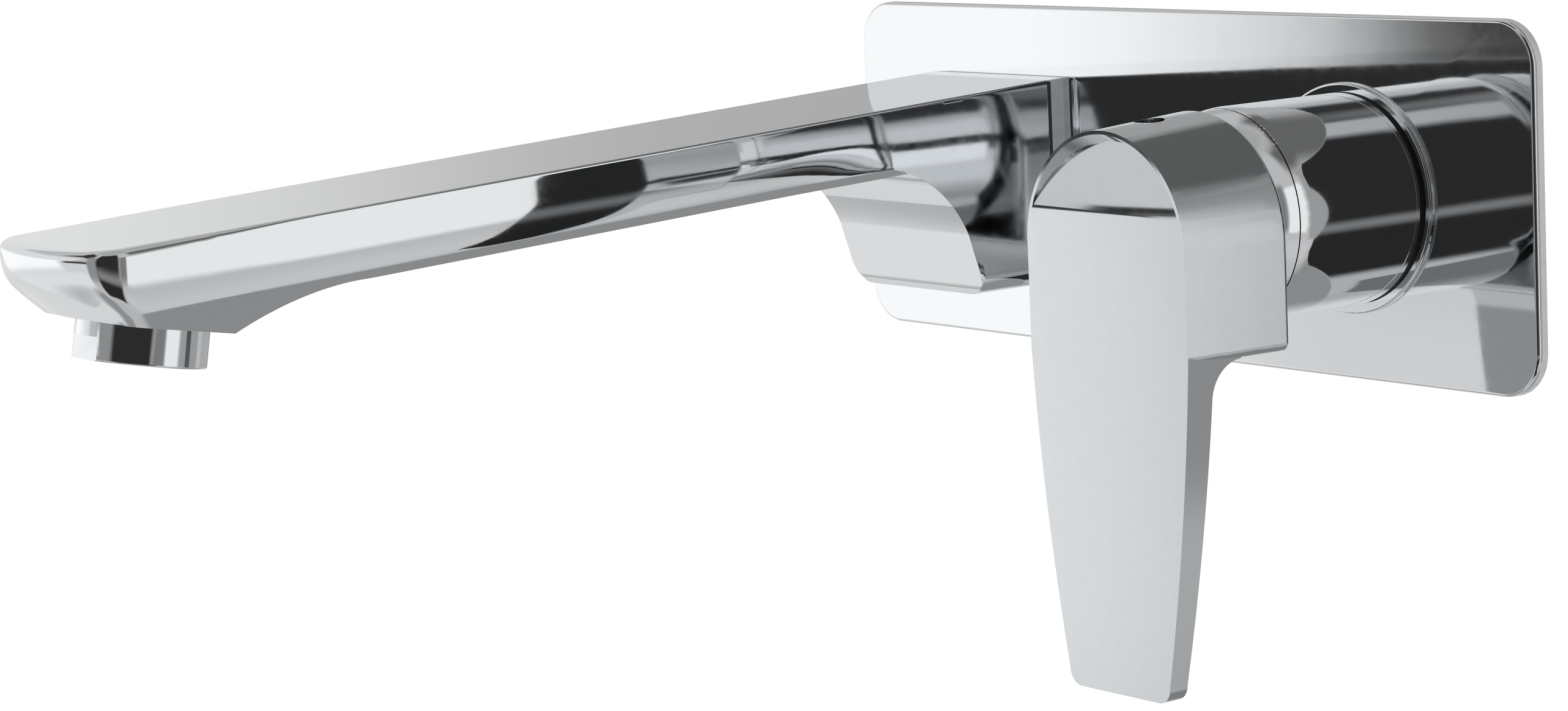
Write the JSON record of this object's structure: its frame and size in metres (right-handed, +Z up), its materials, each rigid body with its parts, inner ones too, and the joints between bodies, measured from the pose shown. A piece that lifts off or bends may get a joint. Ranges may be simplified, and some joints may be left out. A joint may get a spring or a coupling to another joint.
{
  "type": "wall mounted bath faucet",
  "caption": "Wall mounted bath faucet: one polished plate carries a long flat spout with an aerator and a single-lever ceramic-disc mixer on a concealed brass body.",
  "frame": {"origin": "centre of the back face of the wall plate, on the finished wall", "axes": "+Y into the wall, -Y out into the room, +X to the right for somebody facing the wall, +Z up"},
  "size_m": [0.222, 0.2899, 0.1383],
  "materials": {
    "polished_chrome": "polished chrome plate",
    "lever_chrome": "polished chrome plate on zinc casting",
    "raw_brass": "as cast and machined",
    "stainless_steel": "machined",
    "zinc_steel": "zinc plated sheet",
    "seal_rubber": "matte",
    "foam_pad": "closed-cell foam",
    "white_plastic": "moulded acetal",
    "ceramic": null
  },
  "bodies": {
    "fixed_body": {"backplate": "polished_chrome", "plate_gasket": "foam_pad", "spout_body": "polished_chrome", "spout_nipple": "raw_brass", "spout_o_rings": "seal_rubber", "spout_lock_screw": "stainless_steel", "aerator_housing": "polished_chrome", "aerator_insert": "white_plastic", "aerator_screen": "stainless_steel", "aerator_washer": "seal_rubber", "valve_body": "raw_brass", "bracket_screws": "stainless_steel", "wall_bracket": "zinc_steel", "cartridge_base": "white_plastic", "cartridge_port_seals": "seal_rubber", "fixed_ceramic_disc": "ceramic", "cartridge_housing": "white_plastic", "cartridge_nut": "raw_brass", "valve_collar": "polished_chrome", "sleeve_seal": "seal_rubber", "sleeve": "polished_chrome", "dome": "polished_chrome"},
    "turning_core": {"turret": "white_plastic", "stem_pin": "stainless_steel"},
    "mixing_disc": {"moving_ceramic_disc": "ceramic", "disc_carrier": "white_plastic"},
    "lever": {"handle": "lever_chrome", "handle_screw": "stainless_steel", "stem": "raw_brass"}
  },
  "joints": [
    {"name": "mixer_turn", "type": "hinge", "parent": "fixed_body", "child": "turning_core", "pos_m": [0.057, -0.037, 0], "axis": [0, 1, 0], "range_deg": [-50, 50]},
    {"name": "lever_lift", "type": "hinge", "parent": "turning_core", "child": "lever", "pos_m": [0.057, -0.037, 0], "axis": [-1, 0, 0], "range_deg": [0, 25]},
    {"name": "disc_slide", "type": "slide", "parent": "turning_core", "child": "mixing_disc", "axis": [0, 0, -1], "range_m": [0, 0.0043]}
  ],
  "couplings": [
    {"joint": "disc_slide", "follows": "lever_lift", "m_per_rad": 0.0096859}
  ]
}
